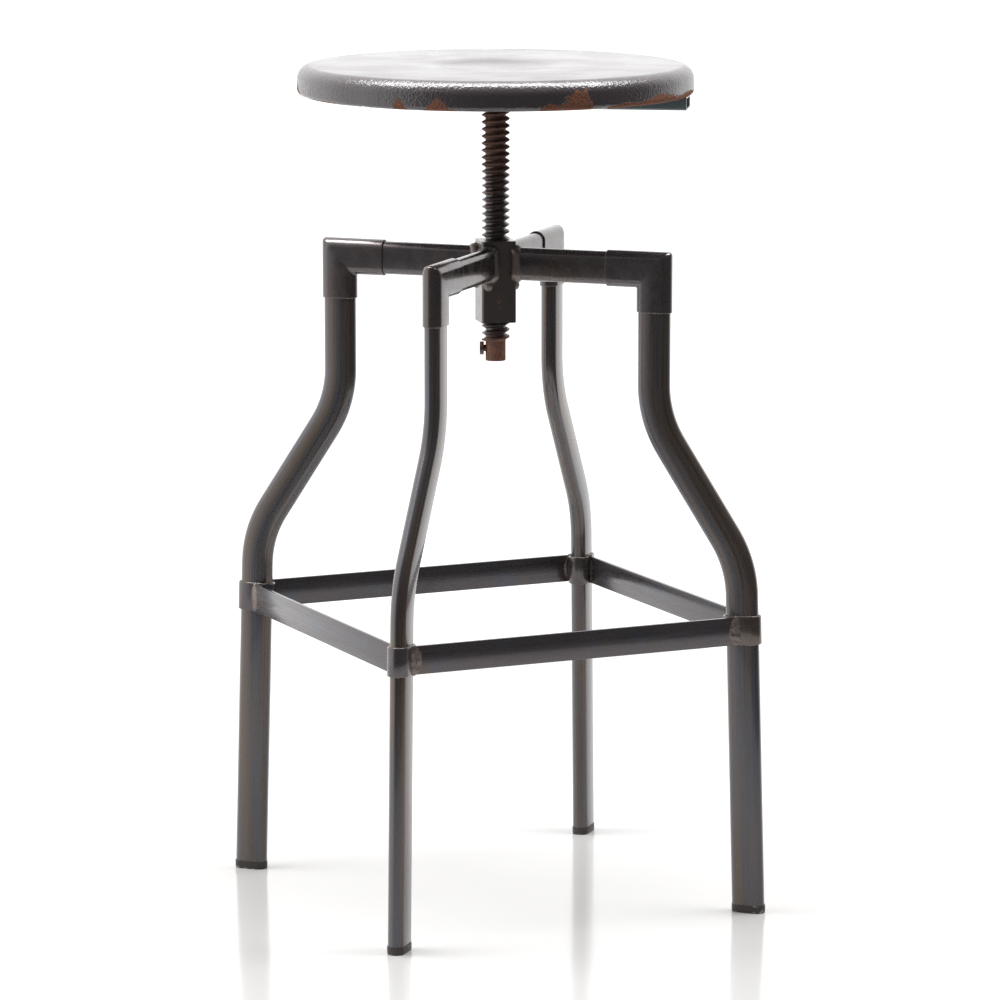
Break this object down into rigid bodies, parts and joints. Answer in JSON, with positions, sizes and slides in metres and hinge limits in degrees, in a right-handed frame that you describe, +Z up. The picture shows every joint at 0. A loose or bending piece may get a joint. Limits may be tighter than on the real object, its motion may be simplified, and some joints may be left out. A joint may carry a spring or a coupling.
{
  "type": "machinist stool",
  "caption": "Workshop stool with a round pressed-steel seat that screws up and down on a coarse thread, bent flat-oval legs and a square flat-bar footrest.",
  "frame": {"origin": "centre of the footprint on the floor, on the spindle's axis", "axes": "+Z up along the spindle; the legs stand on the X and Y axes, so -Y points out through the front leg and +X through the right leg"},
  "size_m": [0.5176, 0.5176, 0.758],
  "materials": {
    "tube_steel": "clear-lacquered raw steel tube with brown and blue heat streaks along it",
    "elbow_steel": "clear-lacquered raw steel pressings",
    "bar_steel": "smooth dark satin flat bar",
    "hub_steel": "dark oiled steel",
    "screw_steel": "oiled steel thread with brown rust",
    "stop_steel": "rusty bare steel",
    "weld_metal": "lumpy bright weld with rust at its edges",
    "seat_lacquer": "glossy dark lacquer over steel, with rust and chips along the lower edge",
    "socket_enamel": "glossy black enamel",
    "cap_plastic": "black moulded plastic"
  },
  "bodies": {
    "frame": {"arm_right": "tube_steel", "elbow_right": "elbow_steel", "leg_right": "tube_steel", "foot_cap_right": "cap_plastic", "collar_right": "tube_steel", "arm_rear": "tube_steel", "elbow_rear": "elbow_steel", "leg_rear": "tube_steel", "foot_cap_rear": "cap_plastic", "collar_rear": "tube_steel", "arm_left": "tube_steel", "elbow_left": "elbow_steel", "leg_left": "tube_steel", "foot_cap_left": "cap_plastic", "collar_left": "tube_steel", "arm_front": "tube_steel", "elbow_front": "elbow_steel", "leg_front": "tube_steel", "foot_cap_front": "cap_plastic", "collar_front": "tube_steel", "footrest_bar_rear_right": "bar_steel", "footrest_bar_rear_left": "bar_steel", "footrest_bar_front_left": "bar_steel", "footrest_bar_front_right": "bar_steel", "hub_nut": "hub_steel", "hub_welds": "weld_metal", "ring_welds": "weld_metal", "elbow_seams": "weld_metal"},
    "lift": {"thrust_washer": "hub_steel"},
    "seat": {"seat_pan": "seat_lacquer", "mounting_plate": "socket_enamel", "spindle_boss": "hub_steel", "boss_pin": "hub_steel", "backrest_socket": "socket_enamel", "spindle": "screw_steel", "stop_screw": "stop_steel", "seat_weld": "weld_metal"}
  },
  "joints": [
    {"name": "seat_height", "type": "slide", "parent": "frame", "child": "lift", "axis": [0, 0, 1], "range_m": [-0.1168, 0.0181]},
    {"name": "seat_turn", "type": "hinge", "parent": "lift", "child": "seat", "pos_m": [0, 0, 0.6], "axis": [0, 0, 1], "range_deg": [-6585, 1020]}
  ],
  "couplings": [
    {"joint": "seat_height", "follows": "seat_turn", "m_per_rad": 0.0010106}
  ]
}
